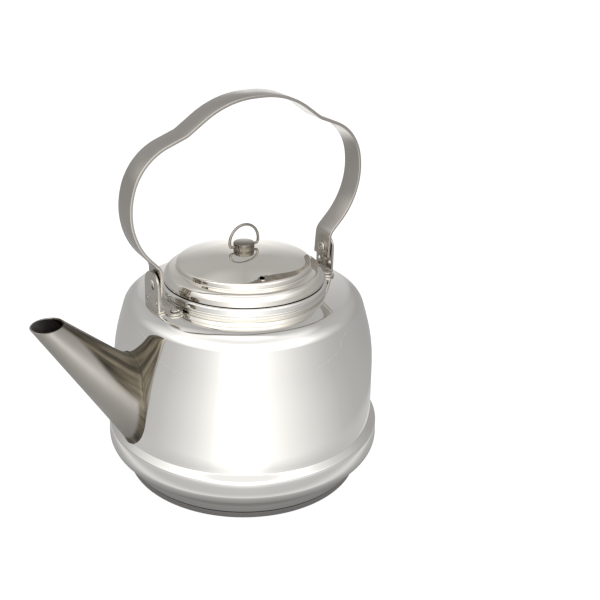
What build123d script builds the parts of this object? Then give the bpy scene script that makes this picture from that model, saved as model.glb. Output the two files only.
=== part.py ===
"""Camping kettle of polished stainless steel with a lift-off lid and a bail handle.

Millimetres, +Z up. The origin is the middle of the foot, the spout points along -X,
and the handle turns about an axis along X through its two ears.
"""
import os
from math import atan2, cos, radians, sin, sqrt, tan

from build123d import *

# Sheet and play
wall = 0.8                      # stainless sheet of body, base, spout and lid
running_play = 0.08             # radial, between a pin and what turns on it
rivet_play = 0.04               # radial, between a set rivet and its hole
face_play = 0.1                 # between faces that slide on each other

# Base, from the floor up
base_radius = 85.0              # steel cap of the heat base
base_cap_height = 4.7
base_edge_radius = 1.4
base_shadow_gap = 0.7           # bare aluminium between cap and pan
pan_radius = 86.0
pan_rim_height = 5.0
pan_edge_radius = 1.2

# Body, outer surface
bulge_radius = 98.2             # the widest place, low on the body
bulge_low = 22.4                # lower corner of the bulge
bulge_high = 37.0               # upper corner of the bulge
bulge_taper = 0.5               # the lower corner stands out by this much more
bulge_step = 4.3                # from the bulge in to the wall
bulge_step_height = 3.6
wall_taper = 1.6                # the wall draws in on its way up
shoulder_height = 133.0         # corner of the shoulder, before it is rounded
shoulder_inset = 10.4           # that corner, inward of the top of the wall
chest_drop = 34.7               # top of the straight wall, below the shoulder's corner
bulge_low_round = 9.0
bulge_high_round = 2.5
waist_round = 2.5
chest_round = 120.0
shoulder_round = 14.0

# Neck, rolled from the same sheet
neck_root_radius = 56.8         # crease between shoulder and rolled neck
neck_root_rise = 2.3            # above the shoulder's corner
neck_bead = 1.5                 # the roll stands out from the crease
neck_bead_rise = 1.9
neck_top_inset = 0.5
neck_top_rise = 4.8
neck_lip = 5.8                  # from the top edge in to the bore
neck_lip_depth = 4.6
neck_crease_round = 0.6
neck_bead_round = 1.5
neck_top_round = 1.6
neck_lip_round = 1.3

# Lid, its heights measured from the top of the neck
lid_rest_gap = 0.1
lid_rim_inset = 1.9             # inward of the top of the neck
lid_skirt_rise = 3.2            # where the skirt turns straight down
lid_shelf_inset = 2.2
lid_shelf_rise = 7.9
lid_disc_inset = 9.0            # inward of the rim
lid_disc_rise = 8.9
lid_dome_inset = 2.1            # inward of the disc's edge
lid_dome_rise = 13.6
lid_top_rise = 20.9
lid_edge_round = 2.0
lid_foot_round = 0.9
lid_shelf_round = 5.0
lid_skirt_round = 5.0
knob_seat_radius = 8.5
lid_collar_play = 0.4
lid_collar_depth = 10.5         # below the top of the neck
vent_diameter = 3.6
vent_inset = 3.2                # inward of the edge of the dome
vent_bearing = 253.4            # degrees round from +X

# Knob and its ring
knob_diameter = 14.6
knob_height = 4.9
knob_edge = 0.5
ring_wire = 1.9
ring_axis_rise = 2.5            # above the foot of the knob
ring_loop_radius = 11.6
ring_loop_rise = 3.2            # loop centre above the pivot line
ring_loop_start = 7.0           # degrees below the loop's middle, where the wire turns in
ring_stem_inset = 1.4           # the level stem ends this far inside the loop
ring_socket_depth = 4.0
ring_end_play = 0.4
screw_diameter = 4.0
screw_reach = 1.2               # into the knob
screw_head_diameter = 7.6
screw_head_height = 2.2
screw_head_round = 1.0
recess_length = 4.2
recess_width = 1.0
recess_depth = 1.2
knob_washer_diameter = 11.0
knob_washer_thickness = 0.8

# Spout, as tall ovals that stand across X
spout_far_x = 165.0
spout_far_low = 153.4
spout_far_high = 173.6
spout_far_half_width = 8.6
spout_near_x = 97.0
spout_near_low = 41.4
spout_near_high = 100.6
spout_near_half_width = 18.4
spout_root_x = 82.0
spout_root_low = 33.0
spout_root_high = 108.0
spout_root_half_width = 22.0
spout_mouth_x = 147.0
spout_mouth_height = 140.1
spout_mouth_tilt = 6.8
spout_slant = 1.3               # level thickness of the slanting sheet, in walls
strainer_hole = 6.4
strainer_pitch = 10.5           # from the middle hole out to the ring of holes
strainer_ring = 6               # holes in that ring
strainer_turn = 30.0            # degrees, bearing of its first hole

# Ears, made for the +X side
pivot_rise = 18.7               # above the shoulder's corner
ear_thickness = 1.5
ear_width = 18.5
ear_foot_clearance = 2.6        # from the crease of the neck
lug_reach = 14.0                # rivet, measured along Y
lug_inset = 9.5                 # rivet, inward of the outer face of the ear
lug_radius = 5.2
lug_rivet_diameter = 3.2
lug_head_diameter = 6.6
lug_head_height = 1.3
lug_tail_diameter = 5.4
lug_tail_height = 0.9
relief_diameter = 3.0
relief_reach = 6.3
relief_rise = 5.2

# Handle, a bent flat strip, its inner face given above the pivot
handle_width = 16.5
handle_thickness = 2.0
handle_lean = 4.0               # the handle stands a little towards -Y
handle_inner_x = 68.0           # inner face at the pivot
handle_tail = 7.0               # below the pivot
handle_tail_round = 2.5
handle_rise = 117.4             # under the grip
limb_turn_rise = 12.7           # where the strip turns outwards above the ear
lobe_reach = 26.2               # outward of the pivot
lobe_rise = 40.8
lobe_top_inset = 11.0
lobe_top_drop = 31.1            # below the grip
saddle_x = 51.2                 # dip between lobe and grip
saddle_drop = 19.3
grip_half_length = 22.9
limb_bend = 10.0
lobe_bend = 49.0
lobe_top_bend = 37.0
saddle_bend = 14.0
grip_bend = 64.0
pivot_washer_thickness = 0.8
pivot_washer_diameter = 11.0
pivot_rivet_diameter = 5.0
pivot_head_diameter = 8.6
pivot_head_height = 1.7
pivot_tail_diameter = 7.2
pivot_tail_height = 1.0
pivot_tail_chamfer = 0.4
pivot_bore_diameter = 3.2
pivot_bore_depth = 3.6
trim_margin = 10.0              # how far a cutting form stands past what it cuts

# Radii and levels that follow
pan_floor = base_cap_height + base_shadow_gap
body_foot = pan_floor + pan_rim_height
waist_radius = bulge_radius - bulge_step
waist_height = bulge_high + bulge_step_height
chest_radius = waist_radius - wall_taper
chest_height = shoulder_height - chest_drop
shoulder_radius = chest_radius - shoulder_inset
neck_root_height = shoulder_height + neck_root_rise
neck_bead_radius = neck_root_radius + neck_bead
neck_bead_height = neck_root_height + neck_bead_rise
neck_top_radius = neck_bead_radius - neck_top_inset
neck_height = neck_bead_height + neck_top_rise
neck_bore = neck_top_radius - neck_lip
lid_rim_radius = neck_top_radius - lid_rim_inset
lid_skirt_height = neck_height + lid_skirt_rise
lid_shelf_radius = lid_rim_radius - lid_shelf_inset
lid_shelf_height = neck_height + lid_shelf_rise
lid_disc_radius = lid_rim_radius - lid_disc_inset
lid_disc_foot = neck_height + lid_disc_rise
lid_dome_edge_radius = lid_disc_radius - lid_dome_inset
lid_dome_edge_height = neck_height + lid_dome_rise
lid_top_height = neck_height + lid_top_rise
vent_reach = lid_dome_edge_radius - vent_inset
strainer_height = (spout_near_low + spout_near_high) / 2
ring_axis_height = lid_top_height + ring_axis_rise
pivot_height = shoulder_height + pivot_rise
ear_foot_inner_radius = neck_root_radius + ear_foot_clearance
ear_inner_x = handle_inner_x + handle_thickness + 2 * face_play + pivot_washer_thickness
ear_outer_x = ear_inner_x + ear_thickness
lug_x = ear_outer_x - lug_inset
shoulder_slope = (neck_root_height - shoulder_height) / (shoulder_radius - neck_root_radius)


def shoulder_at(radius):
    """Height of the flat part of the shoulder at a distance from the axis."""
    return neck_root_height - shoulder_slope * (radius - neck_root_radius)


os.makedirs("parts", exist_ok=True)


def save(part, name):
    part.label = name
    export_step(part, f"parts/{name}.step")


body_outline = [
    (pan_radius, body_foot),
    (bulge_radius + bulge_taper, bulge_low),
    (bulge_radius, bulge_high),
    (waist_radius, waist_height),
    (chest_radius, chest_height),
    (shoulder_radius, shoulder_height),
    (neck_root_radius, neck_root_height),
    (neck_bead_radius, neck_bead_height),
    (neck_top_radius, neck_height),
    (neck_bore, neck_height),
    (neck_bore, neck_height - neck_lip_depth),
]
body_rounds = [
    bulge_low_round,
    bulge_high_round,
    waist_round,
    chest_round,
    shoulder_round,
    neck_crease_round,
    neck_bead_round,
    neck_top_round,
    neck_lip_round,
]

# Everything inside the outer skin of the body, to trim what is welded onto it
with BuildPart() as body_envelope:
    with BuildSketch(Plane.XZ):
        with BuildLine():
            FilletPolyline(*body_outline, radius=body_rounds)
            Polyline(body_outline[-1], (0, neck_height - neck_lip_depth), (0, body_foot), body_outline[0])
        make_face()
    revolve(axis=Axis.Z)

# Drawn body: bulge, wall, shoulder and rolled neck in one sheet
with BuildPart() as body_shell:
    with BuildSketch(Plane.XZ):
        with BuildLine():
            FilletPolyline(*body_outline, radius=body_rounds)
            offset(amount=wall, side=Side.LEFT)
        make_face()
    revolve(axis=Axis.Z)
    with BuildSketch(Plane.YZ.offset(-waist_radius - wall)):
        with Locations((0, strainer_height)):
            Circle(strainer_hole / 2)
            with PolarLocations(strainer_pitch, strainer_ring, start_angle=strainer_turn):
                Circle(strainer_hole / 2)
    extrude(amount=waist_radius / 2, mode=Mode.SUBTRACT)
    with BuildSketch(Plane.XY.offset(shoulder_height - shoulder_round)):
        with Locations(*[(sx * lug_x, sy * lug_reach) for sx in (1, -1) for sy in (1, -1)]):
            Circle(lug_rivet_diameter / 2 + rivet_play)
    extrude(amount=2 * shoulder_round, mode=Mode.SUBTRACT)
save(body_shell.part, "body_shell")

# Pressed pan that closes the body from below
with BuildPart() as base_pan:
    with BuildSketch(Plane.XZ):
        with BuildLine():
            pan_corners = [(0, pan_floor), (pan_radius, pan_floor), (pan_radius, body_foot)]
            FilletPolyline(*pan_corners, radius=pan_edge_radius)
            offset(amount=wall, side=Side.LEFT)
        make_face()
    revolve(axis=Axis.Z)
save(base_pan.part, "base_pan")

# Steel cap round the heat base, with a rounded lower edge
with BuildPart() as base_cap:
    with BuildSketch(Plane.XZ):
        with BuildLine():
            FilletPolyline((0, 0), (base_radius, 0), (base_radius, base_cap_height), radius=base_edge_radius)
            offset(amount=wall, side=Side.LEFT)
        make_face()
    revolve(axis=Axis.Z)
save(base_cap.part, "base_cap")

# Aluminium disc that spreads the heat, filling the cap
with BuildPart() as heat_disc:
    with BuildSketch(Plane.XZ):
        with BuildLine():
            disc_radius = base_radius - wall
            disc_corners = [(0, wall), (disc_radius, wall), (disc_radius, pan_floor)]
            FilletPolyline(*disc_corners, radius=base_edge_radius - wall)
            Polyline(disc_corners[-1], (0, pan_floor), disc_corners[0])
        make_face()
    revolve(axis=Axis.Z)
save(heat_disc.part, "heat_disc")


def spout_oval(x, low, high, half_width, inset):
    """Tall oval across X at the given distance in front of the axis, drawn in by inset all round."""
    with BuildSketch(Plane.YZ.offset(-x)) as oval:
        with Locations((0, (low + high) / 2)):
            Ellipse(half_width - inset, (high - low) / 2 - inset)
    return oval.sketch


def spout_horn(inset):
    """The spout's tapering form, drawn in by inset all round and cut at the mouth."""
    sections = [
        spout_oval(spout_far_x, spout_far_low, spout_far_high, spout_far_half_width, inset),
        spout_oval(spout_near_x, spout_near_low, spout_near_high, spout_near_half_width, inset),
        spout_oval(spout_root_x, spout_root_low, spout_root_high, spout_root_half_width, inset),
    ]
    with BuildPart() as horn:
        loft(sections=sections, ruled=True)
        mouth = Plane((-spout_mouth_x, 0, spout_mouth_height), z_dir=(-sin(radians(spout_mouth_tilt)), 0, 1))
        split(bisect_by=mouth, keep=Keep.BOTTOM)
    return horn.part


# Seamed and tapered spout, trimmed to the outside of the body that it is welded to
with BuildPart() as spout_tube:
    add(spout_horn(0))
    add(spout_horn(spout_slant * wall), mode=Mode.SUBTRACT)
    add(body_envelope.part, mode=Mode.SUBTRACT)
save(spout_tube.part, "spout_tube")

# Ear of the +X side: an upright plate and a foot that follows the shoulder
with BuildPart() as ear:
    with BuildSketch(Plane.XZ):
        foot_start = ear_foot_inner_radius - trim_margin
        foot_end = ear_outer_x + trim_margin
        Polygon(
            (foot_start, shoulder_at(foot_start)),
            (foot_end, shoulder_at(foot_end)),
            (foot_end, shoulder_at(foot_end) + ear_thickness),
            (foot_start, shoulder_at(foot_start) + ear_thickness),
            align=None,
        )
    revolve(axis=Axis.Z)
    with BuildSketch(Plane.XY.offset(shoulder_height - trim_margin)) as foot_outline:
        with Locations(((ear_outer_x + lug_x) / 2, 0)):
            Rectangle(ear_outer_x - lug_x, ear_width)
        with Locations((lug_x, 0)):
            Rectangle(2 * lug_radius, 2 * lug_reach)
        with Locations((lug_x, lug_reach), (lug_x, -lug_reach)):
            Circle(lug_radius)
        Circle(ear_foot_inner_radius, mode=Mode.SUBTRACT)
    extrude(amount=3 * trim_margin, mode=Mode.INTERSECT)
    with BuildSketch(Plane.YZ.offset(ear_inner_x)):
        with BuildLine():
            low = shoulder_at(ear_outer_x) + ear_thickness / 2
            half = ear_width / 2
            Polyline((-half, pivot_height), (-half, low), (half, low), (half, pivot_height))
            ThreePointArc((half, pivot_height), (0, pivot_height + half), (-half, pivot_height))
        make_face()
    extrude(amount=ear_thickness)
    with BuildSketch(Plane.YZ.offset(ear_inner_x - ear_thickness)):
        with Locations((0, pivot_height)):
            Circle(pivot_rivet_diameter / 2 + rivet_play)
        relief_height = shoulder_at(ear_outer_x) + ear_thickness + relief_rise
        with Locations((relief_reach, relief_height), (-relief_reach, relief_height)):
            Circle(relief_diameter / 2)
    extrude(amount=3 * ear_thickness, mode=Mode.SUBTRACT)
    with BuildSketch(Plane.XY.offset(shoulder_height - trim_margin)):
        with Locations((lug_x, lug_reach), (lug_x, -lug_reach)):
            Circle(lug_rivet_diameter / 2 + rivet_play)
    extrude(amount=3 * trim_margin, mode=Mode.SUBTRACT)

# The two rivets of that ear, domed outside and set flat inside
with BuildPart() as lug_rivets:
    for side in (1, -1):
        lug_distance = sqrt(lug_x**2 + lug_reach**2)
        head_seat = shoulder_at(lug_distance - lug_head_diameter / 2) + ear_thickness
        tail_seat = shoulder_at(lug_distance + lug_tail_diameter / 2) - wall
        centre = Plane((lug_x, side * lug_reach, 0), x_dir=(1, 0, 0), z_dir=(0, -1, 0))
        with BuildSketch(centre):
            with BuildLine():
                Polyline(
                    (0, head_seat + lug_head_height),
                    (0, tail_seat - lug_tail_height),
                    (lug_tail_diameter / 2, tail_seat - lug_tail_height),
                    (lug_tail_diameter / 2, tail_seat),
                    (lug_rivet_diameter / 2, tail_seat),
                    (lug_rivet_diameter / 2, head_seat),
                    (lug_head_diameter / 2, head_seat),
                )
                head_edge = (lug_head_diameter / 2, head_seat)
                TangentArc((0, head_seat + lug_head_height), head_edge, tangent=(1, 0))
            make_face()
        revolve(axis=Axis((lug_x, side * lug_reach, 0), (0, 0, 1)))

pivot = Plane((0, 0, pivot_height), x_dir=(0, 1, 0), z_dir=(1, 0, 0))

# Semi-tubular rivet that the handle turns on, headed outside the ear
rivet_tail_x = handle_inner_x - face_play
with BuildPart() as pivot_rivet:
    with BuildSketch(Plane.XZ.shift_origin((0, 0, pivot_height))):
        with BuildLine():
            Polyline(
                (rivet_tail_x - pivot_tail_height, 0),
                (ear_outer_x + pivot_head_height, 0),
            )
            head_edge = (ear_outer_x, pivot_head_diameter / 2)
            TangentArc((ear_outer_x + pivot_head_height, 0), head_edge, tangent=(0, 1))
            Polyline(
                (ear_outer_x, pivot_head_diameter / 2),
                (ear_outer_x, pivot_rivet_diameter / 2),
                (rivet_tail_x, pivot_rivet_diameter / 2),
                (rivet_tail_x, pivot_tail_diameter / 2),
                (rivet_tail_x - pivot_tail_height, pivot_tail_diameter / 2 - pivot_tail_chamfer),
                (rivet_tail_x - pivot_tail_height, 0),
            )
        make_face()
    revolve(axis=Axis((0, 0, pivot_height), (1, 0, 0)))
    with BuildSketch(pivot.offset(rivet_tail_x - pivot_tail_height)):
        Circle(pivot_bore_diameter / 2)
    extrude(amount=pivot_bore_depth, mode=Mode.SUBTRACT)

# Washer that keeps the strip off the ear
with BuildPart() as pivot_washer:
    with BuildSketch(pivot.offset(ear_inner_x - pivot_washer_thickness)):
        Circle(pivot_washer_diameter / 2)
        Circle(pivot_rivet_diameter / 2 + running_play, mode=Mode.SUBTRACT)
    extrude(amount=pivot_washer_thickness)

ear_set = {
    "ear_bracket": ear,
    "ear_lug_rivets": lug_rivets,
    "handle_rivet": pivot_rivet,
    "handle_washer": pivot_washer,
}
for piece, built in ear_set.items():
    for end, turn in (("rear", 0), ("front", 180)):
        with BuildPart() as placed:
            add(built.part, rotation=(0, 0, turn))
        save(placed.part, f"{piece}_{end}")

# Handle strip: tails at the ears, two lobes, and the raised grip between them
handle_plane = Plane(
    (0, 0, pivot_height),
    x_dir=(1, 0, 0),
    z_dir=(0, -cos(radians(handle_lean)), -sin(radians(handle_lean))),
)
lobe_x = handle_inner_x + lobe_reach
handle_half = [
    (handle_inner_x, -handle_tail),
    (handle_inner_x, limb_turn_rise),
    (lobe_x, lobe_rise),
    (lobe_x - lobe_top_inset, handle_rise - lobe_top_drop),
    (saddle_x, handle_rise - saddle_drop),
    (grip_half_length, handle_rise),
]
handle_bends = [limb_bend, lobe_bend, lobe_top_bend, saddle_bend, grip_bend]
with BuildPart() as handle_band:
    with BuildSketch(handle_plane):
        with BuildLine():
            mirrored = [(-x, y) for x, y in reversed(handle_half)]
            FilletPolyline(*handle_half, *mirrored, radius=handle_bends + handle_bends[::-1])
            offset(amount=handle_thickness, side=Side.RIGHT)
        make_face()
    extrude(amount=handle_width / 2, both=True)
    tail_corners = handle_band.edges().filter_by(Axis.X).sort_by(Axis.Z)[:4]
    fillet(tail_corners, handle_tail_round)
    with BuildSketch(pivot.offset(-ear_outer_x)):
        Circle(pivot_rivet_diameter / 2 + running_play)
    extrude(amount=2 * ear_outer_x, mode=Mode.SUBTRACT)
save(handle_band.part, "handle_band")

# Pressed lid: flat seat for the knob, dome, step, shelf and skirt in one sheet
dome_chord = lid_dome_edge_radius - knob_seat_radius
dome_fall = lid_top_height - lid_dome_edge_height
dome_end_angle = 2 * atan2(dome_fall, dome_chord)
rim_corner_height = lid_dome_edge_height - (lid_disc_radius - lid_dome_edge_radius) * tan(dome_end_angle)
lid_foot = neck_height + lid_rest_gap
with BuildPart() as lid_shell:
    with BuildSketch(Plane.XZ):
        with BuildLine():
            Line((0, lid_top_height), (knob_seat_radius, lid_top_height))
            dome_edge = (lid_dome_edge_radius, lid_dome_edge_height)
            TangentArc((knob_seat_radius, lid_top_height), dome_edge, tangent=(1, 0))
            FilletPolyline(
                dome_edge,
                (lid_disc_radius, rim_corner_height),
                (lid_disc_radius, lid_disc_foot),
                (lid_shelf_radius, lid_shelf_height),
                (lid_rim_radius, lid_skirt_height),
                (lid_rim_radius, lid_foot),
                radius=[lid_edge_round, lid_foot_round, lid_shelf_round, lid_skirt_round],
            )
            offset(amount=wall, side=Side.RIGHT)
        make_face()
    revolve(axis=Axis.Z)
    bearing = radians(vent_bearing)
    with BuildSketch(Plane.XY.offset(lid_foot)):
        with Locations((vent_reach * cos(bearing), vent_reach * sin(bearing))):
            Circle(vent_diameter / 2)
        Circle(screw_diameter / 2 + rivet_play)
    extrude(amount=lid_top_rise + trim_margin, mode=Mode.SUBTRACT)
save(lid_shell.part, "lid_shell")

# Ring welded under the lid's shelf that keeps the lid in the neck
collar_outer = neck_bore - lid_collar_play
with BuildPart() as lid_collar:
    with BuildSketch(Plane.XY.offset(neck_height - lid_collar_depth)):
        Circle(collar_outer)
        Circle(collar_outer - wall, mode=Mode.SUBTRACT)
    shelf_slope = (lid_disc_foot - lid_shelf_height) / (lid_shelf_radius - lid_disc_radius)
    shelf_middle = lid_disc_foot - (collar_outer - lid_disc_radius) * shelf_slope
    extrude(amount=shelf_middle - wall / 2 - neck_height + lid_collar_depth)
    add(lid_shell.part, mode=Mode.SUBTRACT)
save(lid_collar.part, "lid_collar")

# Turned knob with a blind socket each side for the ring, and one below for the screw
with BuildPart() as lid_knob:
    with BuildSketch(Plane.XY.offset(lid_top_height)):
        Circle(knob_diameter / 2)
    extrude(amount=knob_height)
    chamfer(lid_knob.faces().sort_by(Axis.Z)[-1].edges(), knob_edge)
    for side in (1, -1):
        with BuildSketch(Plane((side * knob_diameter / 2, 0, ring_axis_height), z_dir=(-side, 0, 0))):
            Circle(ring_wire / 2 + running_play)
        extrude(amount=ring_socket_depth, mode=Mode.SUBTRACT)
    with BuildSketch(Plane.XY.offset(lid_top_height)):
        Circle(screw_diameter / 2)
    extrude(amount=screw_reach, mode=Mode.SUBTRACT)
save(lid_knob.part, "lid_knob")

# Wire ring, sprung into the knob at both ends
ring_plane = Plane((0, 0, ring_axis_height), x_dir=(1, 0, 0), z_dir=(0, -1, 0))
ring_end_x = knob_diameter / 2 - ring_socket_depth + ring_end_play
loop_foot_x = sqrt(ring_loop_radius**2 - ring_loop_rise**2)
with BuildPart() as lid_ring:
    with BuildLine(ring_plane) as ring_path:
        stem_right = Line((ring_end_x, 0), (loop_foot_x - ring_stem_inset, 0))
        loop = CenterArc((0, ring_loop_rise), ring_loop_radius, -ring_loop_start, 180 + 2 * ring_loop_start)
        Line(stem_right @ 1, loop @ 0)
        stem_left = Line((-loop_foot_x + ring_stem_inset, 0), (-ring_end_x, 0))
        Line(loop @ 1, stem_left @ 0)
    with BuildSketch(Plane((ring_end_x, 0, ring_axis_height), z_dir=(1, 0, 0))):
        Circle(ring_wire / 2)
    sweep(path=ring_path.wire(), transition=Transition.ROUND)
save(lid_ring.part, "lid_ring")

# Washer and screw that hold the knob from under the lid
under_lid = lid_top_height - wall
with BuildPart() as knob_washer:
    with BuildSketch(Plane.XY.offset(under_lid - knob_washer_thickness)):
        Circle(knob_washer_diameter / 2)
        Circle(screw_diameter / 2 + rivet_play, mode=Mode.SUBTRACT)
    extrude(amount=knob_washer_thickness)
save(knob_washer.part, "knob_washer")

screw_seat = under_lid - knob_washer_thickness
with BuildPart() as knob_screw:
    with BuildSketch(Plane.XY.offset(screw_seat - screw_head_height)):
        Circle(screw_head_diameter / 2)
    extrude(amount=screw_head_height)
    fillet(knob_screw.faces().sort_by(Axis.Z)[0].edges(), screw_head_round)
    with BuildSketch(Plane.XY.offset(screw_seat)):
        Circle(screw_diameter / 2)
    extrude(amount=lid_top_height + screw_reach - screw_seat)
    with BuildSketch(Plane.XY.offset(screw_seat - screw_head_height)):
        Rectangle(recess_length, recess_width)
        Rectangle(recess_width, recess_length)
    extrude(amount=recess_depth, mode=Mode.SUBTRACT)
save(knob_screw.part, "knob_screw")
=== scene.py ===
"""Polished steel camping kettle with a lift-off lid and a bail handle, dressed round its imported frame."""
from math import atan2, ceil, cos, pi, radians, sin, tan

import bmesh
import bpy
from mathutils import Matrix, Vector
from mathutils.bvhtree import BVHTree


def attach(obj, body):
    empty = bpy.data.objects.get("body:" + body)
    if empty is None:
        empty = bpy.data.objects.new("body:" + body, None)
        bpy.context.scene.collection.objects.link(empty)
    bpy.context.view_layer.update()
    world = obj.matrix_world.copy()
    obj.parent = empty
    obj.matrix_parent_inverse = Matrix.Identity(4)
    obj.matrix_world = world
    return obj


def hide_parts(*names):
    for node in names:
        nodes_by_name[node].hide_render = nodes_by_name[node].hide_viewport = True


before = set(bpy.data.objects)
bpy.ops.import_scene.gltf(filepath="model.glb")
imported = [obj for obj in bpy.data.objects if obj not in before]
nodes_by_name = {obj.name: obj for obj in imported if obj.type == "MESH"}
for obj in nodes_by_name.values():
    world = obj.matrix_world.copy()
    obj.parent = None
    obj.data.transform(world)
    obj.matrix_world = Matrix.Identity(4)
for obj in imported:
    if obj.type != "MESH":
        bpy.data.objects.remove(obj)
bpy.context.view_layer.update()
scene = bpy.context.scene

# Capsule base: a steel cap pressed round a thick aluminium disc under the pan.
# The cap is turned, with rings on its flat and a rolled lower edge; the disc shows as a dark line above it,
# painted near black as the shade in its recess.
# Sheet pieces here are drawn in section with straight runs and tangent arcs, and spun round the axis.
millimetre = 0.001
turn_steps = 192                # facets round a spun piece
arc_step = radians(4.5)         # turn of one facet along a rounded corner
run_step = 3.0                  # length of one facet along a straight run
weld_reach = 0.001              # points nearer than this are one
smooth_turn = 38                # degrees: a sharper corner than this is shaded as an edge
sheet = 0.8                     # thickness of all the drawn steel
base_radius = 85.0
base_height = 4.7
base_edge = 1.4


def draw_run(bm, vert, end, step):
    """Extends a path from vert straight to end, in equal steps, and returns its last vertex."""
    start = vert.co.copy()
    steps = max(1, ceil((end - start).length / step))
    for number in range(1, steps + 1):
        vert = bmesh.ops.extrude_vert_indiv(bm, verts=[vert])["verts"][0]
        vert.co = start.lerp(end, number / steps)
    return vert


def draw_path(bm, corners, step=run_step, finest=arc_step):
    """Draws a path in the XZ plane through corners of (x, z, radius), with an arc of that radius at each."""
    points = [Vector((x, 0, z)) for x, z, _ in corners]
    vert = bm.verts.new(points[0])
    for before, corner, after, (_, _, radius) in zip(points, points[1:], points[2:], corners[1:]):
        coming = (corner - before).normalized()
        going = (after - corner).normalized()
        turn = coming.angle(going)
        side = 1 if coming.cross(going).y > 0 else -1
        reach = radius * tan(turn / 2)
        vert = draw_run(bm, vert, corner - coming * reach, step)
        centre = vert.co + Vector((0, side, 0)).cross(coming) * radius
        arc = bmesh.ops.spin(
            bm, geom=[vert], cent=centre, axis=(0, side, 0), angle=turn, steps=max(2, ceil(turn / finest))
        )
        vert = next(part for part in arc["geom_last"] if isinstance(part, bmesh.types.BMVert))
    return draw_run(bm, vert, points[-1], step)


def turned_skin(corners):
    """A skin with no thickness yet: its outer section, turned all the way round the Z axis."""
    bm = bmesh.new()
    draw_path(bm, corners)
    bmesh.ops.spin(
        bm, geom=bm.verts[:] + bm.edges[:], cent=(0, 0, 0), axis=(0, 0, 1), angle=2 * pi,
        steps=turn_steps, use_merge=True,
    )
    bmesh.ops.remove_doubles(bm, verts=bm.verts[:], dist=weld_reach)
    bmesh.ops.recalc_face_normals(bm, faces=bm.faces[:])
    return bm


def give_wall(bm, wall):
    """Adds the thickness of the metal behind a skin whose faces point outwards."""
    bmesh.ops.solidify(bm, geom=bm.faces[:], thickness=wall)
    bmesh.ops.recalc_face_normals(bm, faces=bm.faces[:])


def place(name, bm, body, node, material, sharp=smooth_turn):
    """Makes the piece from a mesh drawn in millimetres, and hangs it on its body."""
    bmesh.ops.scale(bm, vec=(millimetre,) * 3, verts=bm.verts[:])
    mesh = bpy.data.meshes.new(name)
    bm.to_mesh(mesh)
    bm.free()
    mesh.polygons.foreach_set("use_smooth", [True] * len(mesh.polygons))
    mesh.set_sharp_from_angle(angle=radians(sharp))
    mesh.materials.append(material)
    piece = bpy.data.objects.new(name, mesh)
    scene.collection.objects.link(piece)
    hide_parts(node)
    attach(piece, body)


def join(tree, value, socket):
    """Feeds a socket from another one, or sets it to a number, a vector, a grey or a colour."""
    if isinstance(value, bpy.types.NodeSocket):
        tree.links.new(value, socket)
    elif socket.type != "RGBA":
        socket.default_value = value
    elif isinstance(value, tuple):
        socket.default_value = value + (1,)
    else:
        socket.default_value = (value, value, value, 1)


def math_node(tree, way, first, second):
    """One step of arithmetic on two numbers."""
    node = tree.nodes.new("ShaderNodeMath")
    node.operation = way
    join(tree, first, node.inputs[0])
    join(tree, second, node.inputs[1])
    return node.outputs[0]


def vector_node(tree, way, *values):
    """One step of arithmetic on vectors; a length comes out as a number."""
    node = tree.nodes.new("ShaderNodeVectorMath")
    node.operation = way
    for value, socket in zip(values, node.inputs):
        join(tree, value, socket)
    return node.outputs["Value" if way == "LENGTH" else "Vector"]


def mix_node(tree, share, first, second, way="MIX"):
    """Mixes two colours or greys by a share."""
    mix = tree.nodes.new("ShaderNodeMix")
    mix.data_type = "RGBA"
    mix.blend_type = way
    for value, socket in ((share, "Factor"), (first, "A"), (second, "B")):
        join(tree, value, mix.inputs[socket])
    return mix.outputs["Result"]


def noise_node(tree, where, scale, detail):
    """Cloudy noise read at a place."""
    noise = tree.nodes.new("ShaderNodeTexNoise")
    noise.inputs["Scale"].default_value = scale
    noise.inputs["Detail"].default_value = detail
    tree.links.new(where, noise.inputs["Vector"])
    return noise.outputs["Fac"]


def spread_node(tree, value, source, target):
    """Stretches the source range of a value over the target range, and holds it there."""
    spread = tree.nodes.new("ShaderNodeMapRange")
    for socket, limit in zip(("From Min", "From Max", "To Min", "To Max"), source + target):
        spread.inputs[socket].default_value = limit
    tree.links.new(value, spread.inputs["Value"])
    return spread.outputs["Result"]


def attribute_node(tree, name):
    """A number kept on the piece's own mesh."""
    attribute = tree.nodes.new("ShaderNodeAttribute")
    attribute.attribute_name = name
    return attribute.outputs["Fac"]


grain_scales = {"turned": 2600, "tumbled": 900, "along": 3000}
grain_detail = 3
grain_range = (0.3, 0.7)        # nearly all of the noise lies between these
brush_stretch = 0.02            # how much less the grain changes along the brushing than across it
groove_depth = 0.00004          # of the finish's marks, in metres, at full strength
cloud_scale = 35
cloud_detail = 2


def grain_place(tree, where, lines):
    """Where the grain is read: by rings round the axis, along the brushing, or alike in all directions."""
    split = tree.nodes.new("ShaderNodeSeparateXYZ")
    tree.links.new(where, split.inputs[0])
    if lines == "turned":
        off_axis = vector_node(tree, "LENGTH", vector_node(tree, "MULTIPLY", where, (1, 1, 0)))
        parts = {"X": off_axis, "Z": split.outputs["Z"]}
    elif lines == "along":
        parts = {
            "X": math_node(tree, "MULTIPLY", attribute_node(tree, "along"), brush_stretch),
            "Y": split.outputs["Y"],
        }
    else:
        parts = {axis: split.outputs[axis] for axis in "XYZ"}
    pattern = tree.nodes.new("ShaderNodeCombineXYZ")
    for axis, value in parts.items():
        tree.links.new(value, pattern.inputs[axis])
    return pattern.outputs[0]


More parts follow.
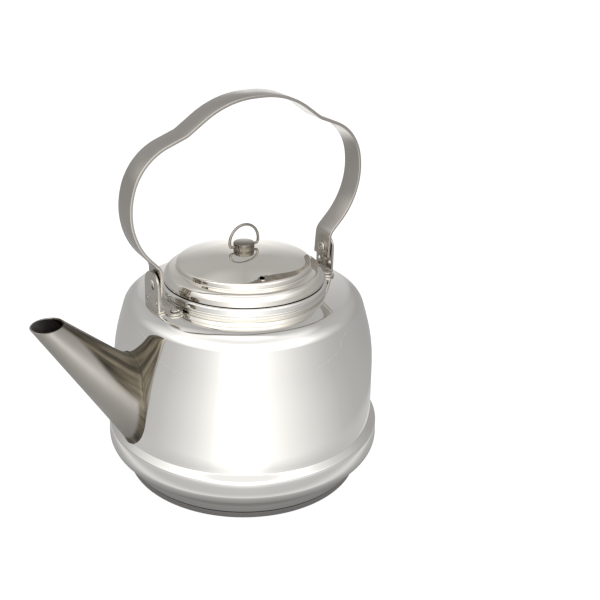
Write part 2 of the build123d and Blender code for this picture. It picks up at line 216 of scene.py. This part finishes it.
def steel(name, colour, dull, gloss, lines, line_depth, mottle=0.03):
    """Bare metal, faintly mottled; its fine grain is turned, tumbled, or runs along the piece."""
    material = bpy.data.materials.new(name)
    material.use_nodes = True
    tree = material.node_tree
    shader = tree.nodes["Principled BSDF"]
    shader.inputs["Metallic"].default_value = 1.0
    where = tree.nodes.new("ShaderNodeTexCoord").outputs["Object"]
    grain = noise_node(tree, grain_place(tree, where, lines), grain_scales[lines], grain_detail)
    cloud = noise_node(tree, where, cloud_scale, cloud_detail)
    darker = tuple(level * (1 - mottle) for level in colour)
    lighter = tuple(min(1, level * (1 + mottle)) for level in colour)
    tree.links.new(mix_node(tree, cloud, darker, lighter), shader.inputs["Base Color"])
    tree.links.new(spread_node(tree, grain, grain_range, (gloss, dull)), shader.inputs["Roughness"])
    bump = tree.nodes.new("ShaderNodeBump")
    bump.inputs["Strength"].default_value = line_depth
    bump.inputs["Distance"].default_value = groove_depth
    tree.links.new(grain, bump.inputs["Height"])
    tree.links.new(bump.outputs[0], shader.inputs["Normal"])
    return material


capsule_steel = steel(
    "capsule_steel", (0.50, 0.48, 0.47), dull=0.34, gloss=0.22, lines="turned", line_depth=0.5
)
# near black: painted shade in the recess, not the aluminium's own colour
disc_painted_shade = steel(
    "disc_painted_shade", (0.045, 0.042, 0.042), dull=0.5, gloss=0.4, lines="turned", line_depth=0.4
)
base = turned_skin([(0, 0, 0), (base_radius, 0, base_edge), (base_radius, base_height, 0)])
give_wall(base, sheet)
place("base_capsule", base, "kettle", "base_cap", capsule_steel)
disc = nodes_by_name["heat_disc"]
disc.data.materials.clear()
disc.data.materials.append(disc_painted_shade)

# Pan that closes the body from below: pressed stainless steel, with a small round at the foot of its wall.
# It is welded in, and its rim is the narrow step above the dark line.
pan_radius = 86.0
pan_gap = 0.7                   # of the dark line, between the cap and the pan
pan_height = 5.0
pan_edge = 1.2
pan_floor = base_height + pan_gap
pan_rim = pan_floor + pan_height
pan_steel = steel("pan_steel", (0.70, 0.68, 0.65), dull=0.16, gloss=0.10, lines="turned", line_depth=0.15)
pan = turned_skin([(0, pan_floor, 0), (pan_radius, pan_floor, pan_edge), (pan_radius, pan_rim, 0)])
give_wall(pan, sheet)
place("pan_rim", pan, "kettle", "base_pan", pan_steel)

# Body: one drawn sheet with a low bulge, a slightly tapered wall, a rounded shoulder and a rolled neck.
# It is mirror polished on the wheel, so its only marks are faint rings round the axis.
# Seven holes behind the spout's root strain what is poured out.
body_corners = [
    (pan_radius, pan_rim, 0),   # seam to the pan
    (98.7, 22.4, 9.0),          # lower corner of the bulge
    (98.2, 37.0, 2.5),          # its upper corner
    (93.9, 40.6, 0.6),          # crease where the wall starts
    (92.3, 98.3, 120.0),        # top of the wall, where it starts to draw in
    (81.9, 133.0, 14.0),        # shoulder
    (56.0, 135.1, 0.6),         # crease at the root of the neck
    (58.3, 137.2, 1.5),         # rolled neck that carries the lid
    (57.8, 142.0, 1.6),
    (52.0, 142.0, 1.3),
    (52.0, 137.4, 0),
]
strainer_middle = Vector((-93.0, 0, 71.0))
strainer_pitch = 10.5
strainer_ring = 6               # holes round the middle one
strainer_turn = radians(30)
strainer_hole = 3.2             # radius of one hole
drill_depth = 4.0               # a drill goes through no skin further off than this
drill_margin = 2.2              # radii round a hole's middle in which the skin is made finer
drill_cuts = 5
drill_inside = 0.96             # radii in which the skin is taken out, before the edge is drawn true


def drill(bm, holes):
    """Opens round holes of (middle, axis, radius) in a skin, with the skin made finer round them first."""

    def off_axis(point, hole):
        middle, axis, _ = hole
        depth = (point - middle).dot(axis)
        return depth, (point - middle) - axis * depth

    def near(face, hole, radii):
        depth, out = off_axis(face.calc_center_median(), hole)
        return abs(depth) < drill_depth and out.length < radii * hole[2]

    around = {face for face in bm.faces if any(near(face, hole, drill_margin) for hole in holes)}
    edges = [edge for edge in bm.edges if not around.isdisjoint(edge.link_faces)]
    bmesh.ops.subdivide_edges(bm, edges=edges, cuts=drill_cuts, use_grid_fill=True)
    for hole in holes:
        inside = [face for face in bm.faces if near(face, hole, drill_inside)]
        corners = {vert for face in inside for vert in face.verts}
        rim = [vert for vert in corners if not set(inside).issuperset(vert.link_faces)]
        bmesh.ops.delete(bm, geom=inside, context="FACES")
        for vert in rim:
            _, out = off_axis(vert.co, hole)
            vert.co += out.normalized() * (hole[2] - out.length)


mirror_steel = steel(
    "mirror_steel", (0.80, 0.783, 0.748), dull=0.04, gloss=0.02, lines="turned", line_depth=0.01, mottle=0.012
)
strainer_spots = [strainer_middle]
for number in range(strainer_ring):
    angle = strainer_turn + 2 * pi * number / strainer_ring
    strainer_spots.append(strainer_middle + Vector((0, cos(angle), sin(angle))) * strainer_pitch)
body = turned_skin(body_corners)
undrilled = body.copy()
give_wall(undrilled, sheet)
body_wall = BVHTree.FromBMesh(undrilled)
undrilled.free()
drill(body, [(spot, Vector((-1, 0, 0)), strainer_hole) for spot in strainer_spots])
give_wall(body, sheet)
place("kettle_body", body, "kettle", "body_shell", mirror_steel)

# Spout: a tapered tube of satin steel sheet, oval across, with a slanted mouth.
# Its root flares a little and is welded to the outside of the wall.
# The side towards the body, and near the root the whole tube, is painted brown with straw streaks:
# painted reflection of the body's shaded side and painted golden highlights, with some heat tint of the weld.
spout_sides = 120
spout_wall = 1.0
far_oval = {"x": -165.0, "low": 153.4, "high": 173.6, "half": 8.6}
near_oval = {"x": -97.0, "low": 41.4, "high": 100.6, "half": 18.4}
root_oval = {"x": -82.0, "low": 33.0, "high": 108.0, "half": 22.0}
mouth_centre = Vector((-147.0, 0, 140.1))
mouth_tilt = radians(6.8)
plain_steps = 12
flare_steps = 8
flare_length = 13.0
flare_curve = 2.2               # the higher this is, the later the flare turns outwards
flare_least = 0.7               # how far the weld foot stands out under the spout and at its sides
flare_most = 3.4                # and on its upper side, towards the body
flare_sides = (0.1, 1.0)        # it grows between these heights, from -1 under the tube to 1 on top
foot_spread = (0.5, 1.0, 0.6)   # the way out that it takes, by shares along X, Y and Z
wall_search = 0.78              # share of the way down each line at which the wall is looked for
wall_reach = 40                 # and how far past the near oval
foot_lift = 0.7                 # the foot's edge stands this far off the wall
foot_lip = 0.15                 # and its last step closes down to it, this much further out
reflection_line_mouth = 0.78          # at the mouth the painted reflection starts this high, from -1 under the tube to 1 on top
reflection_line_root = 0.16           # and at the root this high
reflection_line_fall = (-5, 70)            # distances down from the mouth between which the line changes
reflection_fade = (0.12, 0.08)        # the painted reflection fades in this far below and above the line
all_round_foot = (14.5, 16.5)        # steps down the tube between which it comes to go all the way round
streaks_round = 1.5             # per radian
streaks_down = 0.008            # per millimetre
streak_scale = 2.3
streak_detail = 2
streak_range = (0.40, 0.66)


def tint_and_reflection_steel(name, satin, brown, straw):
    """Satin tube with painted reflection, painted highlights and some heat tint where its mask says; round
    and down place the streaks.
    """
    material = steel(name, satin, dull=0.46, gloss=0.36, lines="tumbled", line_depth=0.06, mottle=0.05)
    tree = material.node_tree
    base_colour = tree.nodes["Principled BSDF"].inputs["Base Color"]
    plain = base_colour.links[0].from_socket
    spot = tree.nodes.new("ShaderNodeCombineXYZ")
    tree.links.new(attribute_node(tree, "round"), spot.inputs["X"])
    tree.links.new(attribute_node(tree, "down"), spot.inputs["Y"])
    streak = noise_node(tree, spot.outputs[0], streak_scale, streak_detail)
    tint_and_reflection_colour = mix_node(tree, spread_node(tree, streak, streak_range, (0, 1)), brown, straw)
    tree.links.new(mix_node(tree, attribute_node(tree, "tint_and_reflection"), plain, tint_and_reflection_colour), base_colour)
    return material


def oval_point(oval, angle):
    """The point at this angle round a tall oval across X."""
    tall = (oval["high"] - oval["low"]) / 2
    middle = (oval["high"] + oval["low"]) / 2
    return Vector((oval["x"], oval["half"] * cos(angle), middle + tall * sin(angle)))


def ease_in(value, start, end):
    """0 before start, 1 after end, and smooth between."""
    share = min(1, max(0, (value - start) / (end - start)))
    return share * share * (3 - 2 * share)


def spout_line(angle):
    """A line down the tube at this angle, from the mouth to the wall and out along its weld foot."""
    far, near, root = (oval_point(oval, angle) for oval in (far_oval, near_oval, root_oval))
    down = near - far
    top = far + down * ((mouth_centre - far).dot(mouth_normal) / down.dot(mouth_normal))
    start = far.lerp(near, wall_search)
    hit, _, _, _ = body_wall.ray_cast(start, (near - start).normalized(), (near - start).length)
    if hit is None:
        hit, _, _, _ = body_wall.ray_cast(near, (root - near).normalized(), wall_reach)
    outward = (Vector((sin(angle), cos(angle), sin(angle))) * Vector(foot_spread)).normalized()
    flare = flare_least + (flare_most - flare_least) * ease_in(sin(angle), *flare_sides)
    foot, off_wall, _, _ = body_wall.find_nearest(hit + outward * flare)
    if off_wall.x > 0:
        off_wall.negate()
    knee = top.lerp(hit, 1 - flare_length / (hit - top).length)
    line = [top.lerp(knee, step / plain_steps) for step in range(plain_steps + 1)]
    for step in range(1, flare_steps + 1):
        share = step / flare_steps
        line.append(knee.lerp(hit, share).lerp(foot + off_wall * foot_lift, share ** flare_curve))
    line.append(foot + outward * foot_lip)
    return line


# satin colour darkened as painted shade; brown and straw are painted reflection, highlights and heat tint
spout_steel = tint_and_reflection_steel("spout_steel", (0.385, 0.362, 0.33), (0.055, 0.048, 0.037), (0.21, 0.183, 0.135))
mouth_normal = Vector((-sin(mouth_tilt), 0, 1)).normalized()
root_centre = Vector((near_oval["x"], 0, (near_oval["low"] + near_oval["high"]) / 2))
spout_run = (root_centre - mouth_centre).normalized()
spout_lines = [spout_line(2 * pi * number / spout_sides) for number in range(spout_sides)]
spout = bmesh.new()
spoke = spout.verts.layers.int.new("spoke")
tint_and_reflection, round_it, down_it = (spout.verts.layers.float.new(name) for name in ("tint_and_reflection", "round", "down"))
rim = bmesh.ops.create_circle(spout, segments=spout_sides, radius=1)["verts"]
for number, vert in enumerate(rim):
    vert[spoke] = number
rim = set(rim)
for step in range(len(spout_lines[0])):
    if step:
        edges = [edge for edge in spout.edges if rim.issuperset(edge.verts)]
        extruded = bmesh.ops.extrude_edge_only(spout, edges=edges)["geom"]
        rim = {part for part in extruded if isinstance(part, bmesh.types.BMVert)}
    for vert in rim:
        line = spout_lines[vert[spoke]]
        angle = 2 * pi * vert[spoke] / spout_sides
        vert.co = line[step]
        fall = (line[step] - line[0]).dot(spout_run)
        # painted reflection of the body on the side towards it, and all round near the foot
        reflection_line = reflection_line_mouth + (reflection_line_root - reflection_line_mouth) * ease_in(fall, *reflection_line_fall)
        body_side = ease_in(sin(angle), reflection_line - reflection_fade[0], reflection_line + reflection_fade[1])
        vert[tint_and_reflection] = max(body_side, ease_in(step, *all_round_foot))
        vert[round_it] = angle * streaks_round
        vert[down_it] = fall * streaks_down
spout.verts.layers.int.remove(spoke)
bmesh.ops.recalc_face_normals(spout, faces=spout.faces[:])
give_wall(spout, spout_wall)
place("spout", spout, "kettle", "spout_tube", spout_steel)

# Ears: two tumbled steel pressings, an upright plate with a round top on a foot that follows the shoulder.
# The foot spreads into two lugs, each riveted down through the shoulder.
# A semi-tubular rivet through each plate, with a thin washer on it, carries the handle.
corner_turn = radians(30)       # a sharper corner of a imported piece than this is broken
seam_reach = 0.002              # its points nearer than this are one
flat_turn = radians(0.5)        # and its faces that turn less than this are one


def eased(name, node, body, material, ease):
    """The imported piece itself, merged into clean faces, with its corners broken by ease."""
    bm = bmesh.new()
    bm.from_mesh(nodes_by_name[node].data)
    bmesh.ops.scale(bm, vec=(1 / millimetre,) * 3, verts=bm.verts[:])
    bmesh.ops.remove_doubles(bm, verts=bm.verts[:], dist=seam_reach)
    bmesh.ops.dissolve_limit(bm, angle_limit=flat_turn, verts=bm.verts[:], edges=bm.edges[:])
    corners = [edge for edge in bm.edges if edge.is_manifold and edge.calc_face_angle(0) > corner_turn]
    bmesh.ops.bevel(
        bm, geom=corners, offset=ease, segments=2, profile=0.5, affect="EDGES", material=-1,
        clamp_overlap=True,
    )
    place(name, bm, body, node, material)


ear_steel = steel(
    "ear_steel", (0.55, 0.52, 0.475), dull=0.24, gloss=0.13, lines="tumbled", line_depth=0.12, mottle=0.10
)
rivet_steel = steel(
    "rivet_steel", (0.54, 0.515, 0.47), dull=0.20, gloss=0.10, lines="tumbled", line_depth=0.1, mottle=0.05
)
for end in ("front", "rear"):
    eased(f"ear_{end}", f"ear_bracket_{end}", "kettle", ear_steel, ease=0.3)
    eased(f"lug_rivets_{end}", f"ear_lug_rivets_{end}", "kettle", rivet_steel, ease=0.12)
    eased(f"pivot_rivet_{end}", f"handle_rivet_{end}", "kettle", rivet_steel, ease=0.15)
    eased(f"pivot_washer_{end}", f"handle_washer_{end}", "kettle", rivet_steel, ease=0.15)

# Handle: one flat strip of stainless, brushed along its length and bent into two lobes and a raised grip.
# Its tails hang inside the ears, and its edges are eased by tumbling.
pivot_height = 151.7
strip_width = 16.5
strip_thickness = 2.0
strip_lean = radians(4.0)
strip_edge = 0.45               # its corners are broken by this much
strip_run = 40                  # a straight run is one facet
strip_arc = radians(2.5)        # turn of one facet along a bend
square_turn = radians(60)       # only the strip's own edges turn more than this, not its bends
strip_half = [                  # from the tail up to the grip, above the pivot
    (68, -7, 0),
    (68, 12.7, 10),
    (94.2, 40.8, 49),
    (83.2, 86.3, 37),
    (51.2, 98.1, 14),
    (22.9, 117.4, 64),
]
strip_steel = steel(
    "strip_steel", (0.47, 0.44, 0.405), dull=0.24, gloss=0.13, lines="along", line_depth=0.4, mottle=0.06
)
strip = bmesh.new()
other_half = [(-x, z, radius) for x, z, radius in reversed(strip_half)]
draw_path(strip, strip_half + other_half, step=strip_run, finest=strip_arc)
along = strip.verts.layers.float.new("along")
travelled = 0.0
strip.verts.ensure_lookup_table()
for before, vert in zip(strip.verts[:], strip.verts[1:]):
    travelled += (vert.co - before.co).length * millimetre
    vert[along] = travelled
bmesh.ops.translate(strip, vec=(0, -strip_width / 2, 0), verts=strip.verts[:])
flank = bmesh.ops.extrude_edge_only(strip, edges=strip.edges[:])["geom"]
far_side = [part for part in flank if isinstance(part, bmesh.types.BMVert)]
bmesh.ops.translate(strip, vec=(0, strip_width, 0), verts=far_side)
bmesh.ops.recalc_face_normals(strip, faces=strip.faces[:])
grip = max(strip.faces, key=lambda face: face.calc_center_median().z)
if grip.normal.z > 0:
    bmesh.ops.reverse_faces(strip, faces=strip.faces[:])
give_wall(strip, strip_thickness)
long_edges = [edge for edge in strip.edges if edge.is_manifold and edge.calc_face_angle(0) > square_turn]
bmesh.ops.bevel(
    strip, geom=long_edges, offset=strip_edge, segments=3, profile=0.5, affect="EDGES", material=-1,
    clamp_overlap=True,
)
pivot = Vector((0, 0, pivot_height))
bmesh.ops.translate(strip, vec=pivot, verts=strip.verts[:])
bmesh.ops.rotate(strip, cent=pivot, matrix=Matrix.Rotation(strip_lean, 3, "X"), verts=strip.verts[:])
place("bail_handle", strip, "handle", "handle_band", strip_steel, sharp=50)

# Lid: pressed from one sheet, with a flat seat for the knob, a low dome, a step, a shelf and a skirt.
# A small steam vent is drilled near the edge of the dome, and a ring welded below keeps it in the neck.
lid_top = 162.9
seat_radius = 8.5
dome_edge = (44.8, 155.6)
dome_turn = 2 * atan2(lid_top - dome_edge[1], dome_edge[0] - seat_radius)
dome_radius = (lid_top - dome_edge[1]) / (1 - cos(dome_turn))
disc_radius = 46.9
lid_corners = [
    (0, lid_top, 0),            # the seat, then the dome, whose arc ends at its edge, and the top of the step
    (seat_radius + dome_radius * tan(dome_turn / 2), lid_top, dome_radius),
    (disc_radius, dome_edge[1] - (disc_radius - dome_edge[0]) * tan(dome_turn), 2.0),
    (disc_radius, 150.9, 0.9),  # foot of the step
    (53.7, 149.9, 5.0),         # shelf
    (55.9, 145.2, 5.0),         # skirt
    (55.9, 142.6, 0),
]
vent_bearing = radians(253.4)
vent_reach = 41.6
vent_height = 156.9
vent_hole = 1.8                 # radius
lid_steel = steel(
    "lid_steel", (0.785, 0.752, 0.697), dull=0.035, gloss=0.015, lines="turned", line_depth=0.01, mottle=0.012
)
vent_spot = Vector((vent_reach * cos(vent_bearing), vent_reach * sin(vent_bearing), vent_height))
lid = turned_skin(lid_corners)
drill(lid, [(vent_spot, Vector((0, 0, 1)), vent_hole)])
give_wall(lid, sheet)
place("lid", lid, "lid", "lid_shell", lid_steel)
eased("lid_collar_ring", "lid_collar", "lid", lid_steel, ease=0.15)

# Knob: a short turned button with its edges broken, held by a washer and a screw from under the lid.
# A wire ring is sprung into a blind hole on each side of it.
ring_axis = lid_top + 2.5
ring_radius = 11.6
ring_rise = 3.2                 # of the loop's middle above the axis it turns on
ring_start = radians(7.0)       # the loop's ends come in this far below its middle
ring_steps = 72
wire_radius = 0.95
wire_tip = 3.8                  # the wire starts this far from the middle, inside the knob
wire_corner = (10.9, 0, 1.4)    # where it bends into the loop, and the radius of that bend
wire_run = 1.5
wire_arc = radians(12)          # turn of one facet along that bend
knob_steel = steel("knob_steel", (0.21, 0.19, 0.16), dull=0.08, gloss=0.04, lines="turned", line_depth=0.2)
wire_steel = steel("wire_steel", (0.31, 0.285, 0.245), dull=0.10, gloss=0.05, lines="tumbled", line_depth=0.1)
eased("knob", "lid_knob", "lid", knob_steel, ease=0.15)
eased("washer_under_lid", "knob_washer", "lid", rivet_steel, ease=0.15)
eased("screw_under_lid", "knob_screw", "lid", rivet_steel, ease=0.12)
path = bmesh.new()
loop_foot = (ring_radius * cos(ring_start), ring_rise - ring_radius * sin(ring_start), 0)
last = draw_path(path, [(wire_tip, 0, 0), wire_corner, loop_foot], step=wire_run, finest=wire_arc)
stem = [vert.co.copy() for vert in path.verts]
bmesh.ops.spin(
    path, geom=[last], cent=(0, 0, ring_rise), axis=(0, -1, 0), angle=pi + 2 * ring_start, steps=ring_steps
)
route = [vert.co.copy() for vert in path.verts]
route += [Vector((-point.x, 0, point.z)) for point in reversed(stem[:-1])]
path.free()
wire_curve = bpy.data.curves.new("ring_wire", "CURVE")
wire_curve.dimensions = "3D"
wire_curve.bevel_depth = wire_radius
wire_curve.bevel_resolution = 5
wire_curve.use_fill_caps = True
wire = wire_curve.splines.new("POLY")
wire.points.add(len(route) - 1)
for point, spot in zip(wire.points, route):
    point.co = (spot.x, 0, spot.z + ring_axis, 1)
wire_object = bpy.data.objects.new("ring_wire", wire_curve)
scene.collection.objects.link(wire_object)
depsgraph = bpy.context.evaluated_depsgraph_get()
wire_mesh = bpy.data.meshes.new_from_object(wire_object.evaluated_get(depsgraph))
bpy.data.objects.remove(wire_object)
ring = bmesh.new()
ring.from_mesh(wire_mesh)
bmesh.ops.recalc_face_normals(ring, faces=ring.faces[:])
place("ring_pull", ring, "ring", "lid_ring", wire_steel)

# Studio: the camera at the photograph's angle, a plain pale floor and a white surround.
# Both are plain white where they are seen, and the floor keeps the object's soft shadow.
camera_data = bpy.data.cameras.new("camera")
camera_data.lens = 54.41
camera_data.sensor_width = 36.0
camera_data.shift_x = 0.0941
camera_data.shift_y = 0.0113
camera = bpy.data.objects.new("camera", camera_data)
scene.collection.objects.link(camera)
scene.camera = camera
camera_place = (-0.3246, -0.4915, 0.3776)
bearing = radians(33.45)
dip = radians(23.71)
roll = radians(0.476)
ahead = Vector((sin(bearing) * cos(dip), cos(bearing) * cos(dip), -sin(dip)))
right = Vector((cos(bearing), -sin(bearing), 0))
above = right.cross(ahead)
rolled_right = right * cos(roll) + above * sin(roll)
rolled_above = above * cos(roll) - right * sin(roll)
turn = Matrix((rolled_right, rolled_above, -ahead)).transposed().to_4x4()
camera.matrix_world = Matrix.Translation(camera_place) @ turn

floor_half = 6.0
paper_glow = 0.86               # what the seen floor gives off itself, so that only a soft shadow stays on it
surround_strength = 0.6         # what the surround lights the object with
floor_bm = bmesh.new()
bmesh.ops.create_grid(floor_bm, x_segments=2, y_segments=2, size=floor_half)
floor_mesh = bpy.data.meshes.new("floor")
floor_bm.to_mesh(floor_mesh)
floor_bm.free()
floor = bpy.data.objects.new("floor", floor_mesh)
scene.collection.objects.link(floor)


def background(tree, output, own_light, seen):
    """Mixes the light that a backdrop gives to the object with the plain white that is seen on it."""
    ray = tree.nodes.new("ShaderNodeLightPath")
    direct = math_node(tree, "MAXIMUM", ray.outputs["Is Camera Ray"], ray.outputs["Is Glossy Ray"])
    mix = tree.nodes.new("ShaderNodeMixShader")
    tree.links.new(math_node(tree, "MAXIMUM", direct, ray.outputs["Is Transmission Ray"]), mix.inputs[0])
    tree.links.new(own_light, mix.inputs[1])
    tree.links.new(seen, mix.inputs[2])
    tree.links.new(mix.outputs[0], output)


paper = bpy.data.materials.new("floor_paper")
paper.use_nodes = True
tree = paper.node_tree
tree.nodes.clear()
matt = tree.nodes.new("ShaderNodeBsdfDiffuse")
matt.inputs["Color"].default_value = (0.9, 0.9, 0.9, 1)
soft_shadow = tree.nodes.new("ShaderNodeBsdfDiffuse")
soft_shadow.inputs["Color"].default_value = (0.25, 0.25, 0.25, 1)
glow = tree.nodes.new("ShaderNodeEmission")
glow.inputs["Strength"].default_value = paper_glow
lifted = tree.nodes.new("ShaderNodeAddShader")
tree.links.new(soft_shadow.outputs[0], lifted.inputs[0])
tree.links.new(glow.outputs[0], lifted.inputs[1])
paper_output = tree.nodes.new("ShaderNodeOutputMaterial")
background(tree, paper_output.inputs["Surface"], matt.outputs[0], lifted.outputs[0])
floor_mesh.materials.append(paper)

world = bpy.data.worlds.new("studio")
scene.world = world
world.use_nodes = True
tree = world.node_tree
tree.nodes.clear()
fill = tree.nodes.new("ShaderNodeBackground")
fill.inputs["Color"].default_value = (1, 1, 1, 1)
fill.inputs["Strength"].default_value = surround_strength
white = tree.nodes.new("ShaderNodeBackground")
white.inputs["Color"].default_value = (1, 1, 1, 1)
white.inputs["Strength"].default_value = 1.0
world_output = tree.nodes.new("ShaderNodeOutputWorld")
background(tree, world_output.inputs["Surface"], fill.outputs[0], white.outputs[0])

# Cards: the tent that the metal mirrors, a dome over a round mat, bright in front and grey at the sides.
# Its tones are shares of full strength. The level, upper and high ones go by the angle round the kettle,
# where 0 is on the camera's side and the right hand is positive.
card_strength = 2.0
tent_radius = 1.6
tent_foot = 0.0015              # the dome ends just above the mat, and the mat just above the floor
mat_height = 0.0004
level_tones = [
    (-180, 0.66), (-170, 0.44), (-158, 0.24), (-130, 0.235), (-90, 0.27), (-75, 0.29), (-60, 0.325),
    (-45, 0.40), (-32, 0.49), (-21, 0.60), (-10, 0.82), (0, 1.0), (8, 0.95), (18, 0.67), (30, 0.57),
    (45, 0.46), (60, 0.37), (75, 0.30), (90, 0.265), (105, 0.25), (130, 0.215), (158, 0.21), (170, 0.42),
    (180, 0.66),
]
upper_tones = [
    (-180, 0.26), (-150, 0.27), (-118, 0.29), (-98, 0.42), (-75, 0.62), (-58, 0.85), (-48, 1.0),
    (50, 1.0), (60, 0.80), (76, 0.54), (92, 0.38), (114, 0.28), (150, 0.265), (180, 0.255),
]
high_tones = [
    (-180, 0.27), (-130, 0.42), (-85, 0.64), (-40, 0.56), (40, 0.56), (85, 0.60), (130, 0.38), (180, 0.26),
]
zenith_tone = 0.75
upper_rise = (16, 33)           # degrees up over which each tone gives way to the next one
high_rise = (52, 60)
zenith_rise = (74, 82)
mat_reach = 0.33                # metres out on the mat that count as 1 in the next two lists
# painted shadow of the kettle on the mat, as (share of mat_reach out, tone)
painted_shadow_tones = [
    (0.0, 0.07), (0.26, 0.14), (0.33, 0.20), (0.385, 0.27), (0.41, 0.46), (0.435, 0.33), (0.52, 0.36),
    (1.0, 0.36),
]
far_share = [(0.0, 0.0), (0.46, 0.0), (0.54, 1.0)]
near_swing = 0.12               # how much of the change round the kettle the near mat takes


def card_mesh(name, bm, material):
    """A card seen only in the metal, not by the camera and not by the lamps."""
    mesh = bpy.data.meshes.new(name)
    bm.to_mesh(mesh)
    bm.free()
    mesh.materials.append(material)
    card = bpy.data.objects.new(name, mesh)
    scene.collection.objects.link(card)
    card.visible_camera = False
    card.visible_diffuse = False
    card.visible_shadow = False
    card.visible_transmission = False


def ramp_node(tree, value, stops):
    """A grey ramp through (place, tone) stops."""
    ramp = tree.nodes.new("ShaderNodeValToRGB")
    while len(ramp.color_ramp.elements) < len(stops):
        ramp.color_ramp.elements.new(0.5)
    for element, (position, tone) in zip(ramp.color_ramp.elements, stops):
        element.position = position
        element.color = (tone, tone, tone, 1)
    tree.links.new(value, ramp.inputs[0])
    return ramp.outputs[0]


def angle_tone(tree, where, tones):
    """Grey by the angle round the kettle."""
    turned = tree.nodes.new("ShaderNodeMapping")
    turned.inputs["Rotation"].default_value = (0, 0, bearing + pi / 2)
    sweep = tree.nodes.new("ShaderNodeTexGradient")
    sweep.gradient_type = "RADIAL"
    tree.links.new(where, turned.inputs[0])
    tree.links.new(turned.outputs[0], sweep.inputs[0])
    return ramp_node(tree, sweep.outputs["Fac"], [(0.5 + angle / 360, tone) for angle, tone in tones])


def dome_tone(tree, where):
    """Level tones low down, brighter ones higher up, and a bright ceiling."""
    split = tree.nodes.new("ShaderNodeSeparateXYZ")
    tree.links.new(vector_node(tree, "NORMALIZE", where), split.inputs[0])
    tone = angle_tone(tree, where, level_tones)
    for rise, above_it in (
        (upper_rise, angle_tone(tree, where, upper_tones)),
        (high_rise, angle_tone(tree, where, high_tones)),
        (zenith_rise, zenith_tone),
    ):
        start, end = (sin(radians(up)) for up in rise)
        tone = mix_node(tree, ramp_node(tree, split.outputs["Z"], [(start, 0), (end, 1)]), tone, above_it)
    return tone


def mat_tone(tree, where):
    """A painted shadow of the kettle, dim and nearly even close to it, and as the dome is further out."""
    out = math_node(tree, "DIVIDE", vector_node(tree, "LENGTH", where), mat_reach)
    far = angle_tone(tree, where, level_tones)
    swing = mix_node(tree, near_swing, 1.0, far)
    near = mix_node(tree, 1.0, ramp_node(tree, out, painted_shadow_tones), swing, "MULTIPLY")
    return mix_node(tree, ramp_node(tree, out, far_share), near, far)


def card_paint(name, make_tone):
    """A glowing card whose tone make_tone works out in its own node tree."""
    paint = bpy.data.materials.new(name)
    paint.use_nodes = True
    tree = paint.node_tree
    tree.nodes.clear()
    where = tree.nodes.new("ShaderNodeTexCoord").outputs["Object"]
    light = tree.nodes.new("ShaderNodeEmission")
    light.inputs["Strength"].default_value = card_strength
    output = tree.nodes.new("ShaderNodeOutputMaterial")
    tree.links.new(make_tone(tree, where), light.inputs["Color"])
    tree.links.new(light.outputs[0], output.inputs["Surface"])
    return paint


dome_bm = bmesh.new()
bmesh.ops.create_uvsphere(dome_bm, u_segments=96, v_segments=48, radius=tent_radius)
bmesh.ops.bisect_plane(
    dome_bm, geom=dome_bm.verts[:] + dome_bm.edges[:] + dome_bm.faces[:],
    plane_co=(0, 0, tent_foot), plane_no=(0, 0, -1), clear_outer=True,
)
card_mesh("dome_card", dome_bm, card_paint("dome_paint", dome_tone))
mat_bm = bmesh.new()
bmesh.ops.create_circle(mat_bm, cap_ends=True, segments=96, radius=tent_radius)
bmesh.ops.translate(mat_bm, vec=(0, 0, mat_height), verts=mat_bm.verts[:])
card_mesh("floor_card", mat_bm, card_paint("floor_paint", mat_tone))

# Lamps: three soft boxes that light the floor and what is not mirrored; the metal doesn't show them.
# They aim at the middle of the kettle.
lamp_target = Vector((0, 0, 0.1))
for name, lamp_place, size, power in (
    ("front_softbox", (-0.9, -1.5, 1.6), 1.2, 22),
    ("side_softbox", (1.5, -0.4, 1.5), 1.0, 9),
    ("top_softbox", (0, 0.3, 2.1), 1.4, 14),
):
    lamp_data = bpy.data.lights.new(name, "AREA")
    lamp_data.size = size
    lamp_data.energy = power
    lamp = bpy.data.objects.new(name, lamp_data)
    scene.collection.objects.link(lamp)
    aim = (lamp_target - Vector(lamp_place)).to_track_quat("-Z", "Y")
    lamp.matrix_world = Matrix.Translation(lamp_place) @ aim.to_matrix().to_4x4()
    lamp.visible_glossy = False

scene.view_settings.view_transform = "Standard"
